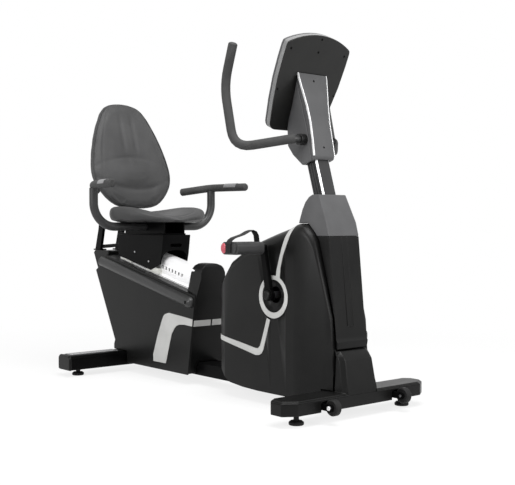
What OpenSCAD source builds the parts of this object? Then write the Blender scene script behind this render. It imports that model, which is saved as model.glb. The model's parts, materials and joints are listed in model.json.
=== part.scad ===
// Recumbent exercise bike: a seat on a sloping rail, pedals ahead of it, a console on a leaning post.
// Millimetres. +X points ahead of the rider, +Y to the rider's left, +Z up.
// The origin is on the floor under the middle of the machine.

/* [Base] */
// Underside of the base beam above the floor
beam_z = 38; // [36:1:40]
// Width of the base beam
beam_w = 100; // [90:2:104]
// Half length of the rear stabilizer with its end caps
rear_half = 370; // [355:5:385]
// Half length of the front stabilizer cover
front_half = 338; // [326:2:350]
// Diameter of a levelling foot pad
foot_d = 50; // [40:1:56]
// Height of a levelling foot pad
foot_h = 14; // [10:1:18]
// Diameter of a transport wheel
wheel_d = 54; // [46:1:56]
// Width of a transport wheel
wheel_w = 24; // [18:1:27]

/* [Drive] */
// Length of a crank arm between its two axes
crank_l = 170; // [155:1:180]
// Lean of the right crank behind the vertical, in degrees
crank_lean = 11.3; // [0:0.1:30]
// Half width of the front housing at the cranks
house_w = 115; // [112:0.5:116]
// Radius of the drive pulley
pulley_r = 118; // [100:1:122]
// Radius of the generator's small pulley
small_r = 30; // [24:1:34]
// Width of a pedal along its axle
pedal_w = 118; // [100:1:126]
// Length of a pedal fore and aft
pedal_l = 92; // [80:1:104]

/* [Mast and console] */
// Width of the console post
post_w = 65; // [56:1:70]
// Depth of the console post
post_d = 51; // [44:1:53]
// Diameter of the handlebar tube
bar_d = 25; // [22:0.5:26]
// Diameter of the foam grips on the handlebar
grip_d = 33; // [30:0.5:38]
// Half width of the console
console_w = 150; // [140:1:160]
// Depth of the console from back to front
console_t = 34; // [32:1:40]

/* [Seat] */
// Half width of the seat pad
seat_w = 208; // [190:1:215]
// Thickness of the seat pad at its sides
seat_t = 62; // [55:1:70]
// Thickness of the back pad
back_t = 52; // [44:1:58]
// Distance from the middle to an arm tube
arm_y = 305; // [290:1:312]
// Diameter of the arm tube
arm_d = 36; // [32:0.5:36]
// Diameter of the armrest grips
rest_d = 34; // [31:0.5:38]
// Pitch of the index slots in the seat rail
slot_pitch = 23.5; // [23:0.1:24]

/* [Hidden] */
// Gap left between two pieces that only touch
fit = 0.3;
// Radial gap of a shaft in its bore
run = 0.05;
// Sloping seat rail: its angle, and the height of its underside over the middle of the machine
rail_slope = 12;
rail_z = 356;
rail_front = -102;
rail_rear = -655;
rail_h = 86;
rail_side = 46;
slot_count = 13;
slot_x = -192;
slot_z = 40;
latch_slot = 9;
latch_x = slot_x - latch_slot * slot_pitch;
// Base beam and stabilizers
beam_h = 50;
beam_top = beam_z + beam_h;
rear_x = -587;
rear_hw = 50;
rear_z0 = 28;
rear_z1 = 90;
front_x = 748;
front_hw = 36;
front_z0 = 42;
front_z1 = 82;
cover_hw = 52;
cover_wall = 4;
rear_foot_y = rear_half - 68;
front_foot_y = front_half - 84;
stud_r = 6;
wheel_x = front_x + 85;
wheel_y = 169;
wheel_z = 57;
axle_r = 5;
// Crank and generator axes
crank_x = 474;
crank_z = 396;
gen_x = 285;
gen_z = 250;
spindle_r = 12.5;
belt_t = 4;
pedal_y = 166;
pedal_axle_r = 7;
arm_in = house_w + 9;
arm_t = 16;
// Console post: a point on its axis, its lean, and its two ends along the axis
post_x = 614;
post_z = 757;
post_lean = 17;
post_low = -180;
post_high = 296;
bar_z = 942;
bar_x = post_x - (bar_z - post_z) * tan(post_lean);
// Console: middle of its back plane and its lean
console_x = 527;
console_z = 1130;
console_lean = 25.2;
// Seat, back and arm tube
seat_x = -437;
seat_z = 658;
back_x = -641;
back_z = 853;
back_lean = 17;
arm_x = -445;
arm_z = 635;
arm_bend = 100;
arm_top = 796;
rest_z = 792 + rest_d / 2;
carriage_w = 70;
carriage_top = 600;

// Helpers for outlines

// Points of an arc about (cx, cy) from angle a0 to a1.
function arc(cx, cy, r, a0, a1, n = 6) =
    [for (i = [0:n]) let (a = a0 + (a1 - a0) * i / n) [cx + r * cos(a), cy + r * sin(a)]];

// Rounded rectangle of width w and height h about (cx, cy).
function round_box(cx, cy, w, h, r, n = 5) = concat(
    arc(cx + w / 2 - r, cy + h / 2 - r, r, 0, 90, n),
    arc(cx - w / 2 + r, cy + h / 2 - r, r, 90, 180, n),
    arc(cx - w / 2 + r, cy - h / 2 + r, r, 180, 270, n),
    arc(cx + w / 2 - r, cy - h / 2 + r, r, 270, 360, n));

// An outline and its mirror image across the middle, joined into one ring.
function both_sides(half) =
    concat(half, [for (i = [len(half) - 1:-1:0]) [-half[i][0], half[i][1]]]);

function unit(v) = v / norm(v);

// Height of the seat rail's underside at a place along the machine.
function rail_under(x) = rail_z - x * tan(rail_slope);

// A side outline in (x, z) drawn across the machine from y0 to y1.
module across(y0, y1) {
    translate([0, y1, 0]) rotate([90, 0, 0]) linear_extrude(y1 - y0) children();
}

// A front outline in (y, z) drawn along the machine from x0 to x1.
module along(x0, x1) {
    translate([x0, 0, 0]) rotate([90, 0, 90]) linear_extrude(x1 - x0) children();
}

// A round bar across the machine at (x, z) from y0 to y1.
module cross_bar(x, z, r, y0, y1) {
    translate([x, y1, z]) rotate([90, 0, 0]) cylinder(r = r, h = y1 - y0, $fn = 64);
}

// The same piece on both sides of the machine.
module both() {
    children();
    mirror([0, 1, 0]) children();
}

// Frames that lean with the rail, the post, the console and the back rest.
module on_rail() {
    translate([0, 0, rail_z]) rotate([0, rail_slope, 0]) children();
}

module on_post() {
    translate([post_x, 0, post_z]) rotate([0, -post_lean, 0]) children();
}

module on_console() {
    translate([console_x, 0, console_z]) rotate([0, console_lean, 0]) children();
}

module on_back() {
    translate([back_x, 0, back_z]) rotate([0, -back_lean, 0]) children();
}

// A closed skin over rings of m points, every ring running the same way round.
module skin(points, m) {
    n = len(points) / m;
    sides = [for (i = [0:n - 2]) for (j = [0:m - 1]) let (k = (j + 1) % m)
        each [[i * m + j, (i + 1) * m + j, (i + 1) * m + k], [i * m + j, (i + 1) * m + k, i * m + k]]];
    first = [for (j = [0:m - 1]) j];
    last = [for (j = [m - 1:-1:0]) (n - 1) * m + j];
    polyhedron(points = points, faces = concat(sides, [first, last]), convexity = 8);
}

// Rings of m points at the listed radii round the points of a path; ref is mirrored on the right side.
function rings(path, radii, m, ref) =
    [for (i = [0:len(path) - 1])
        let (t = unit(path[min(i + 1, len(path) - 1)] - path[max(i - 1, 0)]),
            side = path[i][1] < 0 ? -1 : 1,
            u = unit(cross([ref[0], side * ref[1], ref[2]], t)), v = cross(t, u))
        for (j = [0:m - 1]) path[i] + radii[i] * (cos(360 * j / m) * u + sin(360 * j / m) * v)];

// A bent path: every inner corner becomes a bend that starts its cut length before the corner.
function bend(a, p, b, cut, n) =
    let (s = p + unit(a - p) * cut, e = p + unit(b - p) * cut)
    [for (i = [0:n]) let (t = i / n) (1 - t) * (1 - t) * s + 2 * t * (1 - t) * p + t * t * e];
function bent(pts, cuts, n = 6) = concat([pts[0]],
    [for (i = [1:len(pts) - 2]) each bend(pts[i - 1], pts[i], pts[i + 1], cuts[i - 1], n)],
    [pts[len(pts) - 1]]);

// A sleeve with outer radius ro and inner radius ri along a path.
module sleeve(path, ro, ri, m, ref) {
    n = len(path);
    outer = rings(path, [for (p = path) ro], m, ref);
    inner = rings(path, [for (p = path) ri], m, ref);
    o = n * m;
    walls = [for (i = [0:n - 2]) for (j = [0:m - 1]) let (k = (j + 1) % m, a = i * m + j,
        b = i * m + k, c = (i + 1) * m + k, d = (i + 1) * m + j)
        each [[a, d, c], [a, c, b], [o + a, o + c, o + d], [o + a, o + b, o + c]]];
    ends = [for (j = [0:m - 1]) let (k = (j + 1) % m, e = (n - 1) * m)
        each [[j, k, o + k], [j, o + k, o + j], [e + j, o + e + k, e + k], [e + j, o + e + j, o + e + k]]];
    polyhedron(points = concat(outer, inner), faces = concat(walls, ends), convexity = 10);
}

// Base, stabilizers, feet and wheels

// Outline of a leaning tube's wall between two outlines.
module tube_wall(outer, inner, hw, wall) {
    difference() {
        across(-hw, hw) polygon(outer);
        across(-hw + wall, hw - wall) polygon(inner);
    }
}

module base_frame() {
    x0 = rear_x + rear_hw;
    x1 = front_x - front_hw;
    color([0.10, 0.10, 0.11]) difference() {
        union() {
            // Long beam
            translate([x0, -beam_w / 2, beam_z]) difference() {
                cube([x1 - x0, beam_w, beam_h]);
                translate([6, 4, 4]) cube([x1 - x0 - 12, beam_w - 8, beam_h - 8]);
            }
            // Leaning rear post with its head under the rail
            tube_wall([[-535, beam_top - 1], [-475, beam_top - 1], [-663, 424], [-723, 424]],
                [[-529, beam_top - 2], [-482, beam_top - 2], [-668, 420], [-715, 420]], 30, 4);
            tube_wall([[-560, 228], [-560, rail_under(-560)], [-620, rail_under(-620)], [-620, 335]],
                [[-564, 270], [-564, rail_under(-564) - 6], [-616, rail_under(-616) - 6], [-616, 364]], 30, 4);
            // Front support of the rail
            tube_wall([[-190, beam_top - 1], [-130, beam_top - 1], [-130, rail_under(-130)],
                [-190, rail_under(-190)]],
                [[-186, beam_top - 2], [-134, beam_top - 2], [-134, rail_under(-134) - 6],
                [-186, rail_under(-186) - 6]], 30, 4);
            // Mast that carries the console post
            tube_wall([[652, beam_top - 1], [708, beam_top - 1], [695.4, 593.6], [637.9, 576]],
                [[657, beam_top - 2], [703, beam_top - 2], [691, 587], [643, 572]], 36, 4);
            // Crank bearing shell with its struts
            cross_bar(crank_x, crank_z, 30, -38, 38);
            across(-20, 20) polygon([[crank_x - 20, crank_z - 18], [crank_x + 18, crank_z - 18],
                [572, beam_top - 1], [512, beam_top - 1]]);
            across(-20, 20) polygon([[crank_x + 16, crank_z - 12], [crank_x + 16, crank_z + 14],
                [650, crank_z + 30], [655, crank_z + 4]]);
            // Outriggers that hold the front housing
            for (x = [225, 420]) translate([x, house_wall - house_w, 56])
                cube([30, 2 * (house_w - house_wall), 6]);
            // Two cheeks that carry the generator
            for (y = [[-36, -30], [42, 48]])
                across(y[0], y[1]) polygon(concat([[gen_x - 60, beam_top - 1], [gen_x + 60, beam_top - 1]],
                    arc(gen_x, gen_z, 28, 10, 170, 10)));
        }
        // Bore for the crank bearings
        cross_bar(crank_x, crank_z, 24, -60, 60);
        // Bore for the generator shaft
        cross_bar(gen_x, gen_z, 10 + run, -60, 60);
        // Bolt holes in the end plates
        for (y = [-28, 28]) {
            translate([x0 - 1, y, 58]) rotate([0, 90, 0]) cylinder(r = axle_r + run, h = 12, $fn = 48);
            translate([x1 - 11, y, 62]) rotate([0, 90, 0]) cylinder(r = axle_r + run, h = 12, $fn = 48);
        }
    }
}

// Outline of the rear stabilizer, drawn smaller by d.
function stab_outline(d) = concat(
    arc(rear_hw - 18, rear_z1 - 18, 18 - d, 0, 90), arc(18 - rear_hw, rear_z1 - 18, 18 - d, 90, 180),
    arc(8 - rear_hw, rear_z0 + 8, 8 - d, 180, 270, 3), arc(rear_hw - 8, rear_z0 + 8, 8 - d, 270, 360, 3));

module rear_stabilizer() {
    color([0.09, 0.09, 0.10]) difference() {
        translate([rear_x, 0, 0]) difference() {
            across(12 - rear_half, rear_half - 12) polygon(stab_outline(0));
            across(10 - rear_half, rear_half - 10) polygon(stab_outline(3.5));
        }
        for (y = [-rear_foot_y, rear_foot_y])
            translate([rear_x, y, rear_z0 - 1]) cylinder(r = stud_r + run, h = 10, $fn = 48);
        for (y = [-28, 28])
            translate([rear_x - rear_hw - 1, y, 58]) rotate([0, 90, 0])
                cylinder(r = axle_r + run, h = 2 * rear_hw + 2, $fn = 48);
    }
}

module rear_stabilizer_caps() {
    color([0.07, 0.07, 0.08]) both() translate([rear_x, 0, 0]) {
        across(rear_half - 12, rear_half - 4) polygon(stab_outline(-1.5));
        across(rear_half - 4, rear_half) polygon(stab_outline(2.5));
        across(rear_half - 30, rear_half - 11) polygon(stab_outline(3.5 + fit));
    }
}

module rear_step_strips() {
    color([0.80, 0.80, 0.81]) both()
        translate([rear_x - 26, 118, rear_z1]) difference() {
            cube([52, rear_half - 140, 3]);
            for (x = [8:9:44]) translate([x, -1, 2]) cube([3, rear_half, 2]);
        }
}

module front_stabilizer() {
    color([0.10, 0.10, 0.11]) difference() {
        union() {
            translate([front_x - front_hw, 46 - front_half, front_z0])
                cube([2 * front_hw, 2 * front_half - 92, front_z1 - front_z0]);
            // Forks of the transport wheels
            for (s = [-1, 1]) for (d = [-19, 14])
                translate([0, s * wheel_y, 0]) across(d, d + 5) {
                    translate([front_x + front_hw - 1, wheel_z - 11])
                        square([wheel_x - front_x - front_hw, 22]);
                    translate([wheel_x, wheel_z]) circle(r = 13, $fn = 48);
                }
        }
        translate([front_x - front_hw + 4, 10 - front_half, front_z0 + 4])
            cube([2 * front_hw - 8, 2 * front_half - 20, front_z1 - front_z0 - 8]);
        for (y = [-front_foot_y, front_foot_y])
            translate([front_x, y, front_z0 - 1]) cylinder(r = stud_r + run, h = 10, $fn = 48);
        for (y = [-28, 28])
            translate([front_x - front_hw - 1, y, 62]) rotate([0, 90, 0])
                cylinder(r = axle_r + run, h = 2 * front_hw + 2, $fn = 48);
        for (y = [-wheel_y, wheel_y])
            cross_bar(wheel_x, wheel_z, axle_r + run, y - 30, y + 30);
    }
}

// Plan of the front stabilizer cover, drawn smaller by d.
function cover_plan(d) = let (w = cover_hw - d, l = front_half - d) [
    [-w, l - 22], [22 - w, l], [w - 30, l], [w, l - 44], [w, 44 - l], [w - 30, -l], [22 - w, -l], [-w, 22 - l]];

module front_base_cover() {
    top = front_z1 + cover_wall;
    // Height, front and half width of the mast's flared foot
    levels = [for (l = [[70, 51, 83], [100, 51, 82.5], [122, 45, 81], [189, 33, 77.5], [206, 22, 76], [221, 6, 75]])
        [l[0], front_x + l[1], l[2]]];
    color([0.08, 0.08, 0.09]) difference() {
        union() {
            difference() {
                union() {
                    for (l = [[8, 0], [4, 2], [0, 6]])
                        translate([front_x, 0, 38]) linear_extrude(top - 38 - l[0]) polygon(cover_plan(l[1]));
                }
                translate([front_x, 0, 30]) linear_extrude(front_z1 - 30) polygon(cover_plan(cover_wall + 6));
            }
            skin([for (l = levels) each [[front_x, -l[2], l[0]], [l[1] - 14, -l[2], l[0]], [l[1], 14 - l[2], l[0]],
                [l[1], l[2] - 14, l[0]], [l[1] - 14, l[2], l[0]], [front_x, l[2], l[0]]]], 6);
        }
        // Hollow of the foot, open below
        skin([for (l = levels) let (z = l[0] == 70 ? 30 : l[0] - 5, w = l[2] - 5)
            each [[front_x - 8, -w, z], [l[1] - 19, -w, z], [l[1] - 6, 13 - w, z],
            [l[1] - 6, w - 13, z], [l[1] - 19, w, z], [front_x - 8, w, z]]], 6);
        // Way for the stabilizer beam and the base beam
        translate([front_x - front_hw - fit, 45 - front_half, 20])
            cube([2 * front_hw + 2 * fit, 2 * front_half - 90, front_z1 - 20]);
        translate([front_x - cover_hw - 1, -beam_w / 2 - 1, 20])
            cube([cover_hw - front_hw + 1.5, beam_w + 2, 80]);
        for (y = [-wheel_y, wheel_y])
            translate([front_x + cover_hw - 16, y - 21, 20]) cube([30, 42, 52]);
    }
}

module hex_bolt(l, r, head) {
    translate([0, 0, -0.01]) cylinder(r = r, h = l, $fn = 48);
    translate([0, 0, -head]) cylinder(r = 1.7 * r, h = head, $fn = 6);
}

module frame_bolts() {
    color([0.62, 0.63, 0.65]) {
        for (y = [-28, 28]) {
            translate([rear_x - rear_hw, y, 58]) rotate([0, 90, 0]) hex_bolt(2 * rear_hw + 14, axle_r, 6);
            translate([front_x + front_hw, y, 62]) rotate([0, -90, 0]) hex_bolt(2 * front_hw + 14, axle_r, 6);
        }
        for (s = [-1, 1]) translate([wheel_x, s * (wheel_y + 19), wheel_z]) rotate([s * 90, 0, 0])
            hex_bolt(38, axle_r, 4);
    }
}

module wheel() {
    r = wheel_d / 2;
    w = wheel_w / 2;
    rotate([90, 0, 0]) rotate_extrude($fn = 64) polygon([[axle_r + run, -w - 1], [9, -w - 1], [9, -w + 2],
        [r - 8, -w + 2], [r - 6, -w], [r - 3, -w], [r, -w + 4], [r, w - 4], [r - 3, w], [r - 6, w],
        [r - 8, w - 2], [9, w - 2], [9, w + 1], [axle_r + run, w + 1]]);
}

module wheel_right() {
    color([0.07, 0.07, 0.07]) translate([wheel_x, -wheel_y, wheel_z]) wheel();
}

module wheel_left() {
    color([0.07, 0.07, 0.07]) translate([wheel_x, wheel_y, wheel_z]) wheel();
}

// A levelling foot: rubber pad, lock nut against the stabilizer, threaded stud inside it.
module foot(x, y, seat) {
    r = foot_d / 2;
    color([0.05, 0.05, 0.05]) translate([x, y, 0]) {
        rotate_extrude($fn = 64) polygon([[0, 0], [r - 2, 0], [r, 2], [r, foot_h - 5], [r - 6, foot_h], [0, foot_h]]);
        cylinder(r = 9, h = seat - 7, $fn = 48);
        translate([0, 0, seat - 8]) cylinder(r = 11, h = 8, $fn = 6);
        cylinder(r = stud_r, h = seat + 28, $fn = 48);
    }
}

module foot_front_right() foot(front_x, -front_foot_y, front_z0);
module foot_front_left() foot(front_x, front_foot_y, front_z0);
module foot_rear_right() foot(rear_x, -rear_foot_y, rear_z0);
module foot_rear_left() foot(rear_x, rear_foot_y, rear_z0);

// Seat rail and rear housing

// Upper outline of the rail, drawn smaller by d.
function rail_crown(d) = [for (i = [0:16]) let (a = 180 * i / 16)
    [(rail_side - d) * cos(a), 50 + (rail_h - 50 - d) * sin(a)]];

module seat_rail() {
    l = rail_front - rail_rear;
    color([0.82, 0.82, 0.83]) on_rail() difference() {
        translate([rail_rear, 0, 0]) along(0, l) difference() {
            union() {
                polygon(concat([[rail_side, 0]], rail_crown(0), [[-rail_side, 0]]));
                translate([-56, 0]) square([112, 7]);
            }
            polygon(concat([[rail_side - 4, 5]], rail_crown(4), [[4 - rail_side, 5]]));
        }
        for (i = [0:slot_count - 1])
            translate([slot_x - i * slot_pitch - 4.5, -60, slot_z - 7]) cube([9, 120, 14]);
        // Keyhole for the rail's end stop
        translate([-140, -60, 24]) cube([16, 12, 5]);
    }
}

// Side outline of the rear housing, and of the hollow inside it.
shell_outer = [[-75.3, 40], [-27, 343], [-27, rail_under(-27)], [-715.2, rail_under(-715.2)],
    [-721, 476.5], [-797, 436.5], [-632, 130], [-640, 112], [-640, rear_z1], [-533, rear_z1], [-533, 40]];
shell_inner = [[-99.5, 30], [-64.5, rail_under(-64.5) - 4], [-712, rail_under(-712) - 4], [-718, 472.5],
    [-789.5, 434], [-627, 132], [-635, 114], [-635, rear_z1 - 5], [-529, rear_z1 - 5], [-529, 30]];
shell_w = 92;

module rear_half_shell() {
    difference() {
        across(-shell_w, 0) polygon(shell_outer);
        across(4 - shell_w, 1) polygon(shell_inner);
        // Bay for the front cover between the two side walls
        across(4 - shell_w, 1)
            polygon([[-96.3, 30], [-60, rail_under(-60)], [-60, 420], [20, 420], [20, 30]]);
        // Slot in the deck for the rail supports
        translate([-640, -34, 300]) cube([530, 40, 260]);
        // Way for the base beam
        translate([-545, -beam_w / 2 - fit, 20]) cube([500, beam_w / 2 + 2, beam_top - 20 + fit]);
    }
}

module rear_shell_right() {
    color([0.07, 0.07, 0.08]) rear_half_shell();
}

module rear_shell_left() {
    color([0.07, 0.07, 0.08]) mirror([0, 1, 0]) rear_half_shell();
}

module rear_front_cover() {
    front = both_sides([[87.6, 44], [87.6, 352], [63, 424], [61, 450], [54, 467], [42, 479], [24, 486], [8, 488]]);
    color([0.07, 0.07, 0.08]) difference() {
        intersection() {
            along(-130, 0) polygon(front);
            across(-100, 100) polygon([[-94.4, 42], [-74, 42], [-26, 343], [-26, 474], [-31, 484], [-40, 489],
                [-97, 500], [-97, rail_under(-97) + fit], [-59.7, rail_under(-59.7) + fit]]);
        }
        // Hollow behind the face
        across(-56, 56) polygon([[-30, 345], [-30, 440], [-93, 440], [-93, rail_under(-93) - 20], [-72, 345]]);
        across(-84, 84) polygon([[-90, 93], [-71, 93], [-33, 335], [-66, 335]]);
        // Way for the base beam
        translate([-110, -beam_w / 2 - fit, 30]) cube([60, beam_w + 2 * fit, beam_top - 30 + fit]);
        // Recess over the end of the rail
        on_rail() translate([-140, -58, -fit]) cube([44, 116, rail_h + fit]);
    }
}

module rear_end_cap() {
    color([0.08, 0.08, 0.09]) difference() {
        across(-74, 74) polygon([[-721.5, 477], [-715.6, 508.6], [-715.6, 520], [-721, 525], [-836, 525],
            [-846, 514], [-808, 440], [-796, 437.3]]);
        across(-70, 70) polygon([[-726, 480], [-720, 510], [-720, 521], [-834, 521], [-841, 513], [-806, 445],
            [-797, 442]]);
    }
}

module rear_lift_handle() {
    color([0.09, 0.09, 0.10]) {
        both() {
            across(46, 60) polygon(concat([[-858, 525], [-812, 525], [-786, 628]],
                arc(-806, 634, 20, 0, 160, 8), [[-828, 622]]));
            // Foot flange on the end cap
            translate([-858, 34, 525]) cube([60, 34, 6]);
            // Tie to the end of the rail
            handle_tie();
        }
        cross_bar(-808, 634, 13, -47, 47);
    }
}

// A flat tie between the handle and the end of the rail.
module handle_tie() {
    across(46.5, 52) polygon([[-832, 532], [-631, 545], [-631, 561], [-836, 548]]);
    on_rail() translate([rail_rear - 6, 30, 38]) cube([6, 22, 38]);
}

module side_mouldings() {
    r = 23;
    color([0.10, 0.10, 0.11]) both() difference() {
        translate([0, -shell_w, 0]) on_rail() {
            translate([-745, 0, -34]) rotate([0, 90, 0]) rotate_extrude($fn = 64)
                polygon(concat([[0, 0], [r, 0]], arc(0, 693, r, 0, 84, 7), [[0, 693 + r]]));
        }
        translate([-1000, -shell_w, 200]) cube([1100, 60, 500]);
        // Screw recess near the front end
        translate([0, -shell_w, 0]) on_rail() translate([-56, -10, -34]) rotate([90, 0, 0])
            cylinder(r = 7, h = 40, $fn = 48);
    }
}

rear_trim = [[-320, 70], [-322, 97], [-290, 179], [-255, 249], [-246, 264], [-234, 274], [-206, 281], [-97, 272],
    [-41, 266.5], [-44.5, 238], [-97, 241], [-134, 238], [-154, 231], [-167, 220], [-187, 194], [-211, 125],
    [-229, 70]];

module rear_trims() {
    color([0.74, 0.74, 0.73]) both() {
        across(-shell_w - 1.8, -shell_w) polygon(rear_trim);
        across(-87.5, -4) polygon([[-42.8, 237], [-38.9, 261], [-37.1, 261], [-41, 237]]);
    }
}

// Front housing

// Sections of the right half: place, half width, top, bottom, inner edge, corner radius.
house = [[130, 58, 370, 190, 0, 34], [133, 72, 386, 174, 0, 36], [140, 86, 404, 152, 0, 38],
    [151, 98, 424, 126, 0, 40], [169, 109, 448, 95, 0, 43], [196, 115, 480, 70, 0, 45],
    [225, 115, 516, 55, 0, 45], [300, 115, 556, 47, 0, 45], [385, 115, 589, 44, 0, 45],
    [460, 115, 612, 44, 0, 45], [540, 114, 634, 44, 0, 44], [576, 112, 647, 44, 0, 42],
    [578, 112, 648, 44, 66, 42], [612, 107, 645, 44, 66, 38], [640, 101, 618, 44, 66, 33],
    [659, 97, 588, 44, 66, 28], [689, 92, 482, 44, 66, 22], [691, 91.5, 475, 90, 66, 22],
    [731, 87, 331, 90, 66, 18], [745, 86, 150, 90, 66, 16]];
house_wall = 3;

// Points of one section from the top seam down to the lower edge, drawn smaller by d.
function house_ring(s, d, x) = let (b = s[1] - d + house_w - 115, t = s[2] - d, r = s[5] - d)
    concat([[x, -s[4], t]],
        [for (p = arc(r - b, t - r, r, 90, 180, 7)) [x, p[0], p[1]]],
        [[x, -b, (t - r + s[3]) / 2], [x, -b, s[3]]]);

module half_shell() {
    n = len(house);
    outer = [for (s = house) each house_ring(s, 0, s[0])];
    inner = [for (i = [0:n - 1]) each house_ring(house[i], house_wall, house[i][0] + (i == 0 ? house_wall : 0)
        + (i == 1 ? house_wall * 0.7 : 0))];
    m = len(outer) / n;
    o = n * m;
    ko = 2 * o;
    ki = ko + 1;
    grid = [for (i = [0:n - 2]) for (j = [0:m - 2]) let (a = i * m + j, b = a + 1, c = a + m + 1, d = a + m)
        each [[a, d, c], [a, c, b], [o + a, o + c, o + d], [o + a, o + b, o + c]]];
    seams = [for (i = [0:n - 2]) let (a = i * m, b = a + m, c = a + m - 1, d = c + m)
        each [[a, o + a, o + b], [a, o + b, b], [c, d, o + d], [c, o + d, o + c]]];
    mouth = [for (j = [0:m - 2]) let (a = (n - 1) * m + j)
        each [[a, o + a, o + a + 1], [a, o + a + 1, a + 1]]];
    back = [concat([for (j = [0:m - 1]) j], [ko]), concat([ki], [for (j = [m - 1:-1:0]) o + j]),
        [0, ko, ki, o], [m - 1, o + m - 1, ki, ko]];
    z = house[0][3];
    polyhedron(points = concat(outer, inner, [[house[0][0], 0, z], [house[0][0] + house_wall, 0, z]]),
        faces = concat(grid, seams, mouth, back), convexity = 10);
}

// Half shell with the sunk well round the crank.
well_r = 58;

module front_shell() {
    difference() {
        union() {
            half_shell();
            cross_bar(crank_x + 1, crank_z - 4, well_r + 3, 1 - house_w, 14 - house_w);
        }
        cross_bar(crank_x + 1, crank_z - 4, well_r, -house_w - 5, 11 - house_w);
        cross_bar(crank_x, crank_z, 30, -140, -60);
    }
}

module front_shell_right() {
    color([0.07, 0.07, 0.08]) front_shell();
}

module front_shell_left() {
    color([0.07, 0.07, 0.08]) mirror([0, 1, 0]) front_shell();
}

module spine_cover() {
    color([0.08, 0.08, 0.09]) {
        difference() {
            across(-72.5, 72.5) polygon([[711, 605], [746, 264], [756, 250], [754, 238], [751, 225], [747.5, 225],
                [735, 331], [694, 480], [663, 588], [652, 605]]);
            across(-60, 60) polygon([[705, 620], [729.6, 380], [600, 380], [600, 620]]);
            // Shallow channel down the middle of the front
            across(-14, 14) polygon([[709.5, 620], [740.5, 300], [760, 300], [760, 620]]);
        }
        both() across(63, 66) polygon([[652, 603], [663, 588], [694, 480], [735, 331], [747.5, 225], [738, 225],
            [722, 331], [682, 480], [650, 588], [642, 603]]);
    }
}

module spine_cap() {
    side = [[711, 605.3], [698, 652], [654, 748], [620, 748], [603, 740], [587, 723], [574, 697], [565, 668],
        [560, 649], [602, 648.6], [612.6, 645.6], [640.6, 618.6], [652, 605.3]];
    hollow = [[708, 600], [694.5, 650.5], [651.5, 744.5], [622, 744.5], [605.5, 736.5], [590, 720.5],
        [577.5, 695.5], [569, 668], [565, 640], [640, 600]];
    color([0.30, 0.30, 0.31]) difference() {
        intersection() {
            across(-80, 80) polygon(side);
            along(540, 720) polygon(both_sides([[72.5, 600], [72.5, 652], [65, 748]]));
        }
        across(-61, 61) polygon(hollow);
        on_post() translate([-post_d / 2 - fit, -post_w / 2 - fit, -80])
            cube([post_d + 2 * fit, post_w + 2 * fit, 160]);
    }
}

// The housing's right half as a full body, grown outwards by d.
module house_body(d) {
    n = len(house);
    points = [for (i = [0:n - 1]) let (s = house[i], x = s[0] - (i == 0 ? d : 0))
        each concat([[x, 0, s[2] + d]], house_ring(s, -d, x), [[x, 0, s[3]]])];
    skin(points, len(points) / n);
}

// Inlay: rear band, bend, ring round the crank and the band up to the spine.
trim_low = [[131, 232], [196, 224], [290, 211], [376, 198], [392, 199], [403, 208], [413, 232], [441, 312],
    [458, 306], [430, 223], [421, 196], [411, 182], [398, 175], [379, 173], [290, 189], [196, 206], [131, 214]];
trim_high = [[488, 455], [494, 488], [508, 531], [520, 564], [532, 590], [541, 612], [548, 640], [572, 650],
    [566, 620], [556, 598], [543, 572], [526, 537], [512, 491], [509, 455]];
trim_t = 1.8;

module front_trims() {
    color([0.78, 0.78, 0.77]) both() intersection() {
        across(-house_w - 20, -70) difference() {
            union() {
                polygon(trim_low);
                polygon(trim_high);
                translate([crank_x, crank_z - 7]) circle(r = 76, $fn = 72);
            }
            translate([crank_x + 1, crank_z - 4]) circle(r = well_r + 0.5, $fn = 72);
        }
        difference() {
            house_body(trim_t);
            house_body(0.1);
        }
    }
}

// Drive

module crank_bearings() {
    color([0.70, 0.71, 0.72]) both() difference() {
        cross_bar(crank_x, crank_z, 24, 18, 36);
        cross_bar(crank_x, crank_z, spindle_r + run, 10, 40);
        // Groove between the races
        translate([crank_x, 37, crank_z]) rotate([90, 0, 0]) rotate_extrude($fn = 64)
            translate([17, 0]) square([3, 3]);
    }
}

module crank_spindle() {
    y = arm_in + arm_t;
    color([0.55, 0.56, 0.58]) {
        cross_bar(crank_x, crank_z, spindle_r, -y, y);
        // Bolt head in each end
        both() translate([crank_x, y - 0.01, crank_z]) rotate([-90, 0, 0]) cylinder(r = 10, h = 5, $fn = 6);
    }
}

module drive_pulley() {
    r = pulley_r;
    color([0.13, 0.13, 0.14]) translate([crank_x, -55, crank_z]) rotate([90, 0, 0]) difference() {
        rotate_extrude($fn = 96) polygon([[spindle_r + run, -16], [30, -16], [30, -4], [r - 18, -4], [r - 12, -11],
            [r + 3, -11], [r + 3, -10], [r, -10], [r, 10], [r + 3, 10], [r + 3, 11], [r - 12, 11], [r - 18, 4],
            [30, 4], [30, 12], [spindle_r + run, 12]]);
        for (i = [0:4]) rotate(72 * i) translate([(r + 12) / 2, 0, -20]) cylinder(r = 18, h = 40, $fn = 48);
    }
}

// Belt loop at distance d outside the two pulleys.
belt_gap = sqrt((crank_x - gen_x) * (crank_x - gen_x) + (crank_z - gen_z) * (crank_z - gen_z));
belt_dir = atan2(gen_z - crank_z, gen_x - crank_x);
belt_open = acos((pulley_r - small_r) / belt_gap);
function belt_loop(d) = concat(
    arc(crank_x, crank_z, pulley_r + d, belt_dir + belt_open, belt_dir + 360 - belt_open, 36),
    arc(gen_x, gen_z, small_r + d, belt_dir - belt_open, belt_dir + belt_open, 14));

module drive_belt() {
    color([0.05, 0.05, 0.05]) across(-64, -46) difference() {
        polygon(belt_loop(belt_t));
        polygon(belt_loop(0.45));
    }
}

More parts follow.
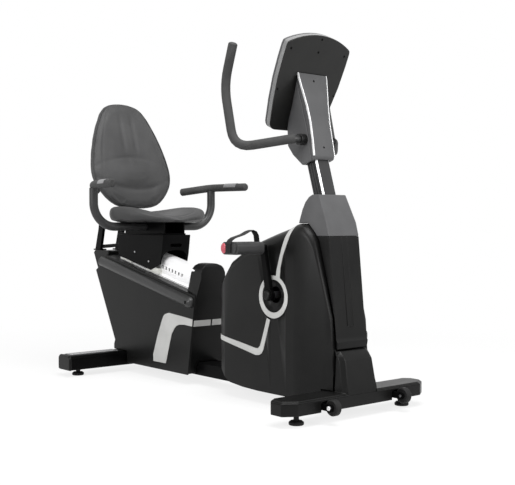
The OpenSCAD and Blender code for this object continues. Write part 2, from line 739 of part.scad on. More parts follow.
module generator_stator() {
    color([0.60, 0.36, 0.22]) translate([gen_x, 42, gen_z]) rotate([90, 0, 0]) difference() {
        union() {
            cylinder(r = 34, h = 52, $fn = 64);
            translate([0, 0, 10]) for (i = [0:11]) rotate(30 * i) translate([30, -11, 0]) cube([46, 22, 40]);
            translate([0, 0, 10]) cylinder(r = 62, h = 40, $fn = 64);
        }
        translate([0, 0, -1]) cylinder(r = 13, h = 60, $fn = 48);
    }
}

module generator_rotor() {
    color([0.42, 0.43, 0.45]) translate([gen_x, 0, gen_z]) rotate([90, 0, 0]) {
        // Drum, open towards the left, on a through shaft with its small pulley
        rotate_extrude($fn = 96) polygon([[0, -50], [10, -50], [10, 14], [24, 14], [24, 16], [92, 16], [92, -34],
            [105, -34], [105, 24], [24, 24], [24, 29], [10, 29], [10, 44], [small_r + 3, 44], [small_r + 3, 45],
            [small_r, 45], [small_r, 65], [small_r + 3, 65], [small_r + 3, 66], [10, 66], [10, 70], [0, 70]]);
    }
}

// A crank arm in its own frame: spindle at the origin, pedal axis straight up.
module crank_arm() {
    difference() {
        union() {
            circle(r = 21, $fn = 64);
            translate([0, crank_l]) circle(r = 14, $fn = 64);
            polygon([[-15, 0], [15, 0], [11, crank_l], [-11, crank_l]]);
        }
        circle(r = spindle_r + run, $fn = 64);
        translate([0, crank_l]) circle(r = pedal_axle_r + run, $fn = 64);
    }
}

// The crank's own plane: the right arm leans back from the vertical, the left one is opposite.
module on_crank(turn) {
    translate([crank_x, 0, crank_z]) rotate([0, -crank_lean + turn, 0]) children();
}

module crank_arm_right() {
    color([0.06, 0.06, 0.07]) on_crank(0) across(-arm_in - arm_t, -arm_in) crank_arm();
}

module crank_arm_left() {
    color([0.06, 0.06, 0.07]) on_crank(180) across(arm_in, arm_in + arm_t) crank_arm();
}

module pedal_axles() {
    y = pedal_y + pedal_w;
    color([0.60, 0.61, 0.63]) {
        on_crank(0) cross_bar(0, crank_l, pedal_axle_r, -y + 6, -arm_in);
        on_crank(0) cross_bar(0, crank_l, 11, -pedal_y + 6, -arm_in - arm_t);
        on_crank(180) cross_bar(0, crank_l, pedal_axle_r, arm_in, y - 6);
        on_crank(180) cross_bar(0, crank_l, 11, arm_in + arm_t, pedal_y - 6);
    }
}

// A pedal about its axle, drawn on the right side: ribbed platform with hollows and an end cap.
module pedal_body() {
    y0 = -pedal_y - pedal_w;
    difference() {
        union() {
            across(y0, -pedal_y) polygon(round_box(0, 0, pedal_l, 44, 16));
            across(y0 - 4, y0) polygon(round_box(0, 0, pedal_l - 18, 34, 14));
        }
        cross_bar(0, 0, pedal_axle_r + run, y0 + 5, -pedal_y + 1);
        // Tread grooves above and below
        for (x = [-30, -20, 20, 30]) for (z = [18, -22])
            translate([x - 2, y0 + 12, z]) cube([4, pedal_w - 24, 4]);
        // Openings beside the axle
        for (x = [-26, 14])
            translate([x, y0 + 24, -26]) cube([12, pedal_w - 48, 52]);
        // Slots that hold the strap
        for (y = [-pedal_y - 7, y0 + 3])
            translate([-15, y, -26]) cube([30, 4, 13]);
    }
}

// Middle line of the strap over the foot, as (y, z) from the inner end to the outer end.
function strap_line() = let (a = -pedal_y + 3.2, b = -pedal_y - pedal_w - 7.2) [[a, -16], [a, 24], [a - 3, 44],
    [a - 12, 57], [a - 26, 62], [a - 42, 58], [a - 66, 47], [b + 22, 36], [b + 9, 28.5], [b, 16], [b, -16]];

module pedal_strap() {
    p = strap_line();
    n = len(p);
    side = [for (i = [0:n - 1]) let (t = unit(p[min(i + 1, n - 1)] - p[max(i - 1, 0)])) [-t[1], t[0]]];
    difference() {
        along(-14, 14) polygon(concat([for (i = [0:n - 1]) p[i] + 1.4 * side[i]],
            [for (i = [n - 1:-1:0]) p[i] - 1.4 * side[i]]));
        // Eye for the axle
        cross_bar(0, 0, pedal_axle_r + fit, -pedal_y - 2, -pedal_y + 8);
    }
}

right_pedal = [crank_x - crank_l * sin(crank_lean), 0, crank_z + crank_l * cos(crank_lean)];
left_pedal = [crank_x + crank_l * sin(crank_lean), 0, crank_z - crank_l * cos(crank_lean)];

module pedal_right() {
    color([0.12, 0.12, 0.13]) translate(right_pedal) pedal_body();
}

module pedal_left() {
    color([0.12, 0.12, 0.13]) translate(left_pedal) mirror([0, 1, 0]) pedal_body();
}

module pedal_strap_right() {
    color([0.04, 0.04, 0.04]) translate(right_pedal) pedal_strap();
}

module pedal_strap_left() {
    color([0.04, 0.04, 0.04]) translate(left_pedal) mirror([0, 1, 0]) pedal_strap();
}

// Mast, handlebar and console

// Section of the post: a profile with two grooves in each side.
module post_section() {
    difference() {
        polygon(round_box(0, 0, post_d, post_w, 6));
        polygon(round_box(0, 0, post_d - 9, post_w - 9, 3));
        for (s = [-1, 1]) for (x = [-16, -4, 8])
            translate([x, s * post_w / 2 - 1.5]) square([5, 3]);
    }
}

module console_post() {
    color([0.16, 0.16, 0.17]) difference() {
        union() {
            on_post() translate([0, 0, post_low]) linear_extrude(post_high - post_low) post_section();
            // Foot plate on the mast
            on_post() translate([0, 0, post_low]) linear_extrude(6)
                polygon(round_box(0, 0, post_d + 6, post_w + 4, 4));
            // Head plate under the console
            on_console() translate([0, -42, -112]) cube([5, 84, 92]);
            for (y = [-24, 18]) across(y, y + 6)
                polygon([[502, 1040], [550, 1040], [530, 1110], [510, 1090], [488, 1042]]);
        }
        cross_bar(bar_x, bar_z, bar_d / 2 + run, -60, 60);
    }
}

bracket_seam = [[600, 866], [581, 945], [557, 1033], [546, 1100], [538.5, 1152]];
bracket_nose = [[553, 1176], [572, 1100], [590, 1024], [606, 945], [617, 884], [614, 872]];
// Half widths of the bracket by height: a waist below a wide head
bracket_half = [[48.5, 840], [47, 880], [45, 940], [44, 1000], [49, 1060], [58, 1115], [65, 1160], [66, 1200]];

// A side outline drawn across the machine, cut to the bracket's front outline grown by d.
module bracket_block(points, d) {
    intersection() {
        across(-80, 80) polygon(points);
        along(400, 700) polygon(both_sides([for (p = bracket_half) p + [d, 0]]));
    }
}

module bracket_front_cover() {
    color([0.20, 0.20, 0.21]) difference() {
        bracket_block(concat(bracket_seam, bracket_nose), 0);
        bracket_block([[580, 874], [560, 945], [540, 1033], [528, 1100], [528, 1150], [550, 1168],
            [568, 1099], [586, 1023], [602, 944], [612, 884], [609, 874]], -4);
        on_post() translate([-post_d / 2 - fit, -post_w / 2 - fit, 60])
            cube([post_d + 2 * fit, post_w + 2 * fit, 120]);
        cross_bar(bar_x, bar_z, bar_d / 2 + fit, -70, 70);
        // Two screw holes in the front
        for (z = [905, 1125]) translate([640, 0, z]) rotate([0, -90 + post_lean, 0])
            cylinder(r = 4, h = 200, $fn = 32);
    }
}

module bracket_rear_cover() {
    seam = [for (p = bracket_seam) p - [fit, 0]];
    color([0.10, 0.10, 0.11]) difference() {
        bracket_block(concat(seam, [[471.6, 1012], [467, 990], [472, 925], [500, 892], [551, 853]]), 0);
        bracket_block([[620, 874], [620, 1150], [533, 1136], [477, 1013], [472, 990], [477, 928],
            [503, 897], [553, 860], [580, 866]], -4);
        // Opening for the head plate of the post
        on_console() translate([-2, -42 - fit, -112 - fit]) cube([8, 84 + 2 * fit, 92 + 2 * fit]);
        on_post() translate([-post_d / 2 - fit, -post_w / 2 - fit, 60])
            cube([post_d + 2 * fit, post_w + 2 * fit, 120]);
        cross_bar(bar_x, bar_z, bar_d / 2 + fit, -70, 70);
    }
}

module bracket_trims() {
    n = len(bracket_nose);
    edge = concat([for (i = [0:n - 2]) bracket_nose[i]], [for (i = [n - 2:-1:0]) bracket_nose[i] - [8, 1]]);
    color([0.86, 0.86, 0.87]) {
        // Strip along both front edges of the bracket
        difference() {
            bracket_block(edge, 3);
            bracket_block([[500, 840], [650, 840], [650, 1200], [500, 1200]], 0);
            on_console() translate([-40, -100, -200]) cube([40 + fit, 200, 400]);
        }
        // Collar where the handlebar leaves the bracket
        both() difference() {
            cross_bar(bar_x, bar_z, 20, 45.8, 70);
            cross_bar(bar_x, bar_z, bar_d / 2 + run, 40, 80);
        }
    }
}

// The left half of the handlebar from the bracket out to the upper end.
bar_path = bent([[bar_x, 72, bar_z], [bar_x, 100, bar_z], [412, 243, 911], [358, 243, 1135],
    [414, 250, 1266]], [20, 66, 60], 6);
bar_ref = unit([1, 0.6, 0.3]);
bar_m = 14;

// The whole bar from the right end through the post to the left end.
bar_full = concat([for (i = [len(bar_path) - 1:-1:0]) let (q = bar_path[i]) [q[0], -q[1], q[2]]], bar_path);

module handlebar() {
    color([0.30, 0.30, 0.31]) sleeve(bar_full, bar_d / 2, bar_d / 2 - 2.5, bar_m, bar_ref);
}

module handlebar_grips() {
    n = len(bar_path);
    p = [for (i = [3:n - 1]) bar_path[i]];
    e = bar_path[n - 1];
    t = unit(e - bar_path[n - 2]);
    r = grip_d / 2;
    bore = concat([p[0] + 2 * unit(p[0] - p[1])], p, [e + 0.2 * t]);
    // Rounded end over the tube
    outer = concat(p, [e + 5 * t, e + 9 * t, e + 11 * t]);
    radii = concat([for (q = p) r], [r, r - 3, r - 8]);
    color([0.22, 0.22, 0.22]) both() difference() {
        skin(rings(outer, radii, bar_m, bar_ref), bar_m);
        skin(rings(bore, [for (q = bore) bar_d / 2 + 0.15], bar_m, bar_ref), bar_m);
    }
}

// Outline of the console in (y, z) of its own frame, drawn smaller by d.
function console_outline(d) = let (w = console_w - d, b = -165 + d, t = 190 - d, s = 38,
    r = (w * w + s * s) / (2 * s), a = asin(w / r))
    both_sides(concat(arc(w - 58, b + 34, 34, 270, 355, 6), [[w - 11, -62], [w - 1, 20], [w + 1.5, 90],
        [w + 1, t - s - 12], [w - 1.5, t - s - 1]], arc(0, t - r, r, 90 - 0.94 * a, 90 - 0.04 * a, 9)));

// Screw holes in the back of the console
console_holes = [[128, 130], [-128, 130], [136, -17], [-136, -17], [0, 176], [0, 130]];

module console_back() {
    color([0.08, 0.08, 0.09]) on_console() difference() {
        along(-console_t + 12, 0) polygon(console_outline(0));
        along(-console_t, -3) polygon(console_outline(4));
        for (p = console_holes) translate([-8, p[0], p[1]]) rotate([0, 90, 0])
            cylinder(r = 4.5, h = 20, $fn = 32);
    }
}

module console_bezel() {
    t = console_t;
    color([0.32, 0.32, 0.33]) on_console() difference() {
        union() {
            along(-t + 4, -t + 12) polygon(console_outline(0));
            along(-t, -t + 4.01) polygon(console_outline(3));
        }
        along(-t - 1, -t + 5) polygon(round_box(0, 62, 214, 136, 8));
        along(-t - 1, -t + 20) polygon(round_box(0, 62, 204, 126, 6));
    }
}

module display_lens() {
    t = console_t;
    color([0.03, 0.03, 0.04]) on_console() along(-t + 2, -t + 5)
        polygon(round_box(0, 62, 214 - 2 * fit, 136 - 2 * fit, 8));
}

module key_membrane() {
    t = console_t;
    color([0.15, 0.15, 0.16]) on_console() {
        along(-t - 1, -t) polygon(round_box(0, -68, 210, 76, 10));
        for (y = [-80:40:80]) for (z = [-84, -52]) translate([-t - 2.2, y, z]) rotate([0, 90, 0])
            cylinder(r = 9, h = 1.3, $fn = 32);
    }
}

// Seat and back rest

module carriage() {
    color([0.06, 0.06, 0.06]) difference() {
        union() {
            difference() {
                across(-carriage_w, carriage_w) polygon([[-635, carriage_top], [-280, carriage_top], [-292, 520],
                    [-304, 476], [-377, rail_under(-377) + 14], [-635, rail_under(-635) + 14]]);
                across(4 - carriage_w, carriage_w - 4) polygon([[-700, carriage_top - 4], [-200, carriage_top - 4],
                    [-200, 380], [-700, 380]]);
            }
            // Front wall, arched over the rail and its end cover
            difference() {
                across(2 - carriage_w, carriage_w - 2) polygon([[-280, carriage_top], [-292, 520], [-304, 476],
                    [-309, 476], [-297, 520], [-285, carriage_top]]);
                along(-330, -260) polygon(both_sides([[65, 460], [64.5, 494], [58, 514], [46, 527], [26, 534],
                    [8, 536]]));
            }
            // Ears and pivot of the latch lever on the left side
            on_rail() for (d = [-19, 13]) translate([latch_x + d, carriage_w - 1, 68]) cube([6, 26, 22]);
            on_rail() translate([latch_x - 22, carriage_w + 16, 79]) rotate([0, 90, 0])
                cylinder(r = 4, h = 44, $fn = 48);
        }
        // Slot in the front wall over the rail
        along(-330, -260) polygon(round_box(0, 556, 58, 14, 6));
        // Bore for the latch pin
        on_rail() translate([latch_x, 60, slot_z]) rotate([-90, 0, 0]) cylinder(r = 4.2 + run, h = 20, $fn = 48);
    }
}

module carriage_glides() {
    w = carriage_w - 4 - rail_side - run;
    color([0.85, 0.85, 0.82]) on_rail() both() for (x = [-632, -420])
        translate([x, rail_side + run, 7 + run]) cube([84, w, 24]);
}

module latch_pin() {
    color([0.66, 0.67, 0.69]) on_rail() translate([latch_x, 0, slot_z]) rotate([-90, 0, 0]) {
        translate([0, 0, 38]) cylinder(r = 4.2, h = 43, $fn = 48);
        translate([0, 0, 80]) cylinder(r = 9, h = 4, $fn = 48);
    }
}

module latch_lever() {
    y = carriage_w + 16;
    color([0.10, 0.10, 0.10]) on_rail() translate([latch_x, 0, 0]) {
        difference() {
            union() {
                translate([-12.5, y, 79]) rotate([0, 90, 0]) cylinder(r = 8, h = 25, $fn = 48);
                translate([-10, 74, 40.5]) cube([20, 5.6, 34.5]);
                translate([-10, 74, 68]) cube([20, 14, 10]);
                translate([-8, y, 76]) cube([16, 24, 6]);
            }
            translate([-20, y, 79]) rotate([0, 90, 0]) cylinder(r = 4 + run, h = 40, $fn = 48);
            // Fork round the pin
            translate([-5, 70, 20]) cube([10, 12, 27]);
        }
        // Grip bar
        translate([-70, y + 24, 79]) rotate([0, 90, 0]) cylinder(r = 7, h = 84, $fn = 48);
    }
}

module seat_frame() {
    color([0.05, 0.05, 0.05]) difference() {
        union() {
            translate([-634, -60, carriage_top]) cube([334, 120, 6]);
            both() translate([-560, 47, carriage_top + 5]) cube([262, 6, seat_z - carriage_top - 7]);
            // Board under the seat pad
            translate([0, 0, seat_z - 4]) linear_extrude(4) polygon(seat_ring(0.84, 0));
            // Back upright and its foot
            across(-36, 36) polygon([[-632, carriage_top + 1], [-560, carriage_top + 1], [-560, 643], [-598, 656],
                [-632, 640]]);
            on_back() translate([-54, -32, -224]) cube([28, 64, 400]);
            on_back() translate([-54, -70, 40]) cube([28, 140, 50]);
        }
        cross_bar(arm_x, arm_z, arm_d / 2 + run, -200, 200);
        on_back() translate([-51, -29, -210]) cube([22, 58, 383]);
    }
}

// Plan of the seat pad at scale s: rounded in front and at the sides, cut flatter at the back.
seat_l = 192;
seat_m = 44;
function seat_ring(s, d) = [for (j = [0:seat_m - 1]) let (a = 360 * j / seat_m, c = cos(a), n = sin(a), e = 0.86,
    x = seat_l * sign(c) * pow(abs(c), e), y = (seat_w - d) * sign(n) * pow(abs(n), e))
    [seat_x + s * (x < 0 ? x * 0.79 : x), s * y]];

// Height of the pad's upper face: dished in the middle, raised at the sides, falling over the front edge.
function seat_top(x, y) = let (u = (x - seat_x) / seat_l, v = y / seat_w)
    seat_z + seat_t - 30 + 46 * pow(abs(v), 2.2) - 26 * max(0, u) * max(0, u) * (1 - 0.7 * abs(v))
    + 10 * max(0, -u);

module seat_pad() {
    levels = [[0.90, 0], [0.965, 0.10], [0.995, 0.30], [1.0, 0.50], [0.99, 0.70], [0.96, 0.86], [0.91, 0.96]];
    inside = [0.84, 0.70, 0.52, 0.32, 0.12];
    side = [for (l = levels) each [for (p = seat_ring(l[0], 0))
        [p[0], p[1], seat_z + l[1] * (seat_top(p[0], p[1]) - 4 - seat_z)]]];
    face = [for (s = inside) each [for (p = seat_ring(s, 0)) [p[0], p[1], seat_top(p[0], p[1])]]];
    color([0.17, 0.17, 0.17]) skin(concat(side, face), seat_m);
}

// Outline of the back rest, upper part narrow and lower part wide, as half widths by height.
back_table = [[-146, 40], [-141, 78], [-132, 108], [-115, 134], [-97, 153], [-66, 178], [-36, 194], [-5, 202],
    [20, 204], [56, 201], [118, 189], [179, 171], [240, 147], [300, 116], [330, 90], [344, 62], [350, 34], [352, 10]];
function back_ring(s) = let (h = [for (p = back_table) [p[1] * s, 60 + (p[0] - 60) * s]])
    concat(h, [for (i = [len(h) - 1:-1:0]) [-h[i][0], h[i][1]]]);
back_m = 2 * len(back_table);

// Distance of the pad's front face from its back board: crowned, fuller at the waist, creased below it.
function back_face(y, z, s) = let (e = 1 - pow(s, 4))
    back_t - 18 + 9 * e + 14 * exp(-pow((z - 5) / 48, 2)) * exp(-pow(y / 120, 2)) * e
    - 7 * exp(-pow((z + 60) / 18, 2)) * exp(-pow(y / 150, 2)) * e;

module back_pad() {
    levels = [[0.94, 0], [0.985, 0.10], [1.0, 0.30], [1.0, 0.62], [0.99, 0.86], [0.965, 0.98]];
    inside = [0.90, 0.80, 0.68, 0.54, 0.40, 0.26, 0.12];
    side = [for (l = levels) each [for (p = back_ring(l[0])) [-8 + l[1] * (back_t - 14), p[0], p[1]]]];
    face = [for (s = inside) each [for (p = back_ring(s)) [-8 + back_face(p[0], p[1], s), p[0], p[1]]]];
    color([0.17, 0.17, 0.17]) on_back() skin(concat(side, face), back_m);
}

module back_shell() {
    color([0.06, 0.06, 0.07]) on_back() {
        along(-14, -8) polygon(back_ring(0.93));
        along(-21, -13.99) polygon(back_ring(0.88));
        along(-26, -20.99) polygon(back_ring(0.80));
    }
}

module arm_half() {
    r = arm_d / 2;
    w = arm_y - arm_bend;
    ring_r = r - 2.5;
    translate([arm_x, 0, arm_z]) {
        difference() {
            union() {
                translate([0, w, 0]) rotate([90, 0, 0]) cylinder(r = r, h = w, $fn = 64);
                translate([0, arm_y, arm_bend]) cylinder(r = r, h = arm_top - arm_z - arm_bend, $fn = 64);
            }
            translate([0, w + 1, 0]) rotate([90, 0, 0]) cylinder(r = ring_r, h = w + 2, $fn = 64);
            translate([0, arm_y, arm_bend - 1]) cylinder(r = ring_r, h = arm_top - arm_z - arm_bend - 4, $fn = 64);
        }
        translate([0, w, arm_bend]) rotate([0, 90, 0]) rotate_extrude(angle = 90, $fn = 96)
            translate([arm_bend, 0]) difference() {
                circle(r = r, $fn = 64);
                circle(r = ring_r, $fn = 64);
            }
    }
}

module arm_bar() {
    color([0.13, 0.13, 0.14]) both() arm_half();
}

// Armrest grip: its rear part turns inwards, its front part splays out
rest_front = [-242, arm_y + 36, rest_z];
rest_path = bent([[-560, arm_y - 80, rest_z - 18], [arm_x - 4, arm_y, rest_z], rest_front], [34], 6);

module armrest_grips() {
    n = len(rest_path);
    a = rest_path[0];
    b = rest_path[n - 1];
    ua = unit(rest_path[0] - rest_path[1]);
    ub = unit(rest_path[n - 1] - rest_path[n - 2]);
    r = rest_d / 2;
    path = concat([a + 7 * ua, a + 5 * ua], rest_path, [b + 5 * ub, b + 7 * ub]);
    radii = concat([r - 7, r - 3], [for (p = rest_path) r], [r - 3, r - 7]);
    color([0.20, 0.20, 0.20]) both() difference() {
        skin(rings(path, radii, 20, [0, 0, 1]), 20);
        // Seat for the end of the arm tube
        translate([arm_x, arm_y, arm_z]) cylinder(r = arm_d / 2 + run, h = arm_top - arm_z + run, $fn = 64);
    }
}

module pulse_plates() {
    turn = atan2(rest_front[1] - arm_y, rest_front[0] - arm_x + 4);
    color([0.86, 0.86, 0.87]) both() translate([arm_x - 4, arm_y, rest_z]) rotate([0, 0, turn])
        translate([95, 0, 0]) rotate([0, 90, 0]) difference() {
            cylinder(r = rest_d / 2 + 1.6, h = 70, $fn = 64);
            translate([0, 0, -1]) cylinder(r = rest_d / 2 + 0.1, h = 80, $fn = 64);
            translate([0, -40, -1]) cube([80, 80, 80]);
        }
}

base_frame();
rear_stabilizer();
rear_stabilizer_caps();
rear_step_strips();
front_stabilizer();
front_base_cover();
frame_bolts();
wheel_right();
wheel_left();
foot_front_right();
foot_front_left();
foot_rear_right();
foot_rear_left();
seat_rail();
rear_shell_right();
rear_shell_left();
rear_front_cover();
rear_end_cap();
rear_lift_handle();
side_mouldings();
rear_trims();
front_shell_right();
front_shell_left();
spine_cover();
spine_cap();
front_trims();
crank_bearings();
generator_stator();
generator_rotor();
drive_belt();
crank_spindle();
drive_pulley();
crank_arm_right();
crank_arm_left();
pedal_axles();
pedal_right();
pedal_left();
pedal_strap_right();
pedal_strap_left();
console_post();
bracket_front_cover();
bracket_rear_cover();
bracket_trims();
handlebar();
handlebar_grips();
console_back();
console_bezel();
display_lens();
key_membrane();
carriage();
carriage_glides();
latch_pin();
latch_lever();
seat_frame();
seat_pad();
back_shell();
back_pad();
arm_bar();
armrest_grips();
pulse_plates();
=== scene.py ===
import json
from math import exp, radians

import bpy
from mathutils import Matrix, Vector

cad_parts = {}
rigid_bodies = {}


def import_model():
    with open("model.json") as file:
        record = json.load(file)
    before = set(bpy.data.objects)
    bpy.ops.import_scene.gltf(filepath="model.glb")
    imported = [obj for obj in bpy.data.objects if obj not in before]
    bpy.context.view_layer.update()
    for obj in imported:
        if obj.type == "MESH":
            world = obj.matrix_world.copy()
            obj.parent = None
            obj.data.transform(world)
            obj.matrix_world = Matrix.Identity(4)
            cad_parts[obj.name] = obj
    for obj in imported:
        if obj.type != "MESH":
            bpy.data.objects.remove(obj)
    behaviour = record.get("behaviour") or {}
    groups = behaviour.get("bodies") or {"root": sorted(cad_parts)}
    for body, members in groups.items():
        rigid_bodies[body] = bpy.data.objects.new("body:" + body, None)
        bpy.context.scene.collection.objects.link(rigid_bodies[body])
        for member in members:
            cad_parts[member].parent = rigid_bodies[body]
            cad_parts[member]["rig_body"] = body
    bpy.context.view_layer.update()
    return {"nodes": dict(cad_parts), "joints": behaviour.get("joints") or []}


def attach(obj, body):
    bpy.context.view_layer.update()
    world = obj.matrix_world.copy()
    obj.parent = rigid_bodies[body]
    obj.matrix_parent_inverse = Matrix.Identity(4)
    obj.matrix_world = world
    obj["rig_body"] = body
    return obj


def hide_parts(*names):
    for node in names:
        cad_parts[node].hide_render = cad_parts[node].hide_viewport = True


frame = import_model()
scene = bpy.context.scene
scene.view_settings.view_transform = "Standard"


# Places of the machine, in metres

def leaning(x, z, degrees):
    """A frame at a point of the middle plane, turned about the cross axis."""
    return Matrix.Translation((x, 0, z)) @ Matrix.Rotation(radians(degrees), 4, "Y")


# Leaning frames, as in the solids
RAIL_SLOPE = 12
RAIL = leaning(0, 0.356, RAIL_SLOPE)
POST = leaning(0.614, 0.757, -17)
CONSOLE = leaning(0.527, 1.130, 25.2)
BACK = leaning(-0.641, 0.853, -17)
# Points on the axes of what turns
AXES = {joint["name"]: joint["pos_m"] for joint in frame["joints"] if "pos_m" in joint}
SIDES = (("right", -1), ("left", 1))
# How far the small pieces sit from the middle plane
CRANK_CAP_Y = 0.1402
AXLE_CAP_Y = 0.1878
MOULDING_SCREW_Y = 0.1022
CARRIAGE_SCREW_Y = 0.0695
REFLECTOR_Y = 0.2876
# Seats of the screws: along and above the rail, along and above the floor, across and up the console
MOULDING_SCREW = (-0.056, -0.034)
CARRIAGE_SCREWS = ((-0.498, 0.5245), (-0.389, 0.4865))
CONSOLE_SCREWS = ((0.128, 0.130), (-0.128, 0.130), (0.136, -0.017), (-0.136, -0.017), (0.0, 0.176),
                  (0.0, 0.130))
CONSOLE_SCREW_SEAT = -0.0028
REFLECTOR_SIZE = (0.029, 0.036, 0.011)
REFLECTOR_BACK = 0.0300
# Height and half width of the back pad, in mm
BACK_OUTLINE = ((-146, 40), (-132, 108), (-97, 153), (-66, 178), (-36, 194), (-5, 202), (20, 204), (56, 201),
                (118, 189), (179, 171), (240, 147), (300, 116), (330, 90), (344, 62), (352, 10))
PIPING_RADIUS = 0.0026
PIPING_DEEP = 0.0215
PIPING_SHARE = 0.97
PIPING_MIDDLE = 60
# Sewn lines of the back pad: depth, width and place
BACK_FLAT = 0.012
BACK_THICK = 0.016
ROLL_START = 0.74
ROLL_DEEP = 0.008
ROLL_SEAM = (0.0030, 0.14, 0.10)
CHANNEL = (0.0035, 0.011, 0.030)
CHANNEL_LOW = 0.09
CHANNEL_HIGH = 0.30
CHANNEL_FADE = 0.05
UPPER_TUCK = (0.0045, 0.010, 0.085)
LOWER_TUCK = (0.0055, 0.011, -0.066)
# Stitched line of the seat pad: the pad's middle, half lengths and half width, then depth, width and place
SEAT_MIDDLE = -0.437
SEAT_BEHIND = 0.1517
SEAT_AHEAD = 0.192
SEAT_HALF = 0.208
SEAT_FLAT = 0.672
SEAT_SEAM = (0.0035, 0.030, 0.80)
# Shortest edge that gets a full rounding on a large moulding
SHORTEST = 0.0022


# Shader arithmetic and finishes

class Field:
    """A shader socket that takes part in Python expressions."""

    def __init__(self, shading, socket):
        self.shading = shading
        self.socket = socket

    def _maths(self, operation, *terms):
        return self.shading.node("ShaderNodeMath", {"operation": operation}, *terms)

    def __add__(self, other):
        return self._maths("ADD", self, other)

    def __radd__(self, other):
        return self._maths("ADD", other, self)

    def __sub__(self, other):
        return self._maths("SUBTRACT", self, other)

    def __rsub__(self, other):
        return self._maths("SUBTRACT", other, self)

    def __mul__(self, other):
        return self._maths("MULTIPLY", self, other)

    def __rmul__(self, other):
        return self._maths("MULTIPLY", other, self)

    def above(self, limit):
        return self._maths("GREATER_THAN", self, limit)

    def below(self, limit):
        return self._maths("LESS_THAN", self, limit)

    def size(self):
        return self._maths("ABSOLUTE", self)


class Shading:
    """A tree of nodes, every one of which comes from the method below."""

    def __init__(self, tree):
        self.tree = tree

    def node(self, kind, settings, *values, out=0, **named):
        made = self.tree.nodes.new(kind)
        for key, value in settings.items():
            if key == "stops":
                ramp = made.color_ramp.elements
                while len(ramp) < len(value):
                    ramp.new(0.5)
                for stop, (place, colour) in zip(ramp, value):
                    stop.position = place
                    stop.color = (*colour, 1)
            else:
                setattr(made, key, value)
        for index, value in enumerate(values):
            self.feed(made.inputs[index], value)
        for key, value in named.items():
            self.feed(made.inputs[key.replace("_", " ")], value)
        return Field(self, made.outputs[out])

    def feed(self, socket, value):
        if isinstance(value, Field):
            self.tree.links.new(value.socket, socket)
        else:
            socket.default_value = value

    def shown(self):
        """One where a ray shows the background: seen, mirrored or through glass."""
        seen, mirrored, through = [self.node("ShaderNodeLightPath", {}, out=ray)
                                   for ray in ("Is Camera Ray", "Is Glossy Ray", "Is Transmission Ray")]
        return seen + mirrored + through


class Finish(Shading):
    """One material: a shader whose constants sit on its own sockets, with fields for what varies."""

    def __init__(self, name, **constants):
        self.material = bpy.data.materials.new(name)
        self.material.use_nodes = True
        super().__init__(self.material.node_tree)
        self.shader = self.tree.nodes["Principled BSDF"]
        self.drive(**constants)

    def drive(self, **fields):
        for socket, value in fields.items():
            self.feed(self.shader.inputs[socket.replace("_", " ")], value)
        return self

    def place(self, scale=(1, 1, 1), turn=(0, 0, 0)):
        spot = self.node("ShaderNodeTexCoord", {}, out="Object")
        return self.node("ShaderNodeMapping", {}, spot, Scale=scale, Rotation=turn)

    def axes(self, matrix):
        """The x, y and z of the shaded point told in one of the leaning frames."""
        back = matrix.inverted()
        spot = self.node("ShaderNodeTexCoord", {}, out="Object")
        spot = self.node("ShaderNodeMapping", {}, spot, Location=back.to_translation(),
                         Rotation=back.to_euler())
        return [self.node("ShaderNodeSeparateXYZ", {}, spot, out=axis) for axis in range(3)]

    def noise(self, scale, detail=2.0, spot=None):
        return self.node("ShaderNodeTexNoise", {}, Vector=spot or self.place(), Scale=scale, Detail=detail)

    def cells(self, scale, feature="F1"):
        return self.node("ShaderNodeTexVoronoi", {"feature": feature}, Vector=self.place(), Scale=scale)

    def tint(self, amount, dark, light):
        return self.node("ShaderNodeValToRGB", {"stops": [(0.3, dark), (0.7, light)]}, amount)

    def bump(self, height, strength, distance):
        return self.node("ShaderNodeBump", {}, Height=height, Strength=strength, Distance=distance)


def grey(level, blue=None):
    """A grey, whose blue is a little off where that is given."""
    return level, level, level if blue is None else blue


def moulded_plastic(name, dark, light, rough, specular, grain=900, depth=0.00012):
    """Satin moulded plastic with a fine spark-eroded grain and faint clouding."""
    made = Finish(name, Specular_IOR_Level=specular)
    cloud = made.noise(9, 3)
    fine = made.noise(grain, 2)
    scuff = made.noise(55, 6, made.place((1, 1, 0.25)))
    return made.drive(Base_Color=made.tint(cloud, dark, light),
                      Roughness=rough + 0.10 * (cloud - 0.5) + 0.10 * (scuff - 0.5),
                      Normal=made.bump(fine, 0.5, depth)).material


def coated_steel(name, dark, light, rough, specular):
    """Powder-coated steel with a low orange peel."""
    made = Finish(name, Specular_IOR_Level=specular)
    cloud = made.noise(14, 3)
    peel = made.noise(420, 1.5)
    return made.drive(Base_Color=made.tint(cloud, dark, light), Roughness=rough + 0.12 * (cloud - 0.5),
                      Normal=made.bump(peel, 0.35, 0.0002)).material


def drawn_metal(name, dark, light, rough, turn=(0, 0, 0), stretch=(6, 900, 900), metallic=1.0):
    """Metal with fine lines along its length."""
    made = Finish(name, Metallic=metallic)
    lines = made.noise(1.0, 3, made.place(stretch, turn))
    cloud = made.noise(12, 2)
    return made.drive(Base_Color=made.tint(lines, dark, light), Roughness=rough + 0.12 * (cloud - 0.5),
                      Normal=made.bump(lines, 0.12, 0.0001)).material


def grained_vinyl(name, dark, light):
    """Upholstery vinyl with a pebbled grain."""
    made = Finish(name, Specular_IOR_Level=0.18)
    pebble = made.cells(520, "SMOOTH_F1")
    fine = made.noise(1300, 2)
    cloud = made.noise(7, 3)
    return made.drive(Base_Color=made.tint(cloud, dark, light), Roughness=0.50 + 0.14 * (cloud - 0.5),
                      Normal=made.bump(pebble + 0.3 * fine, 0.45, 0.0004)).material


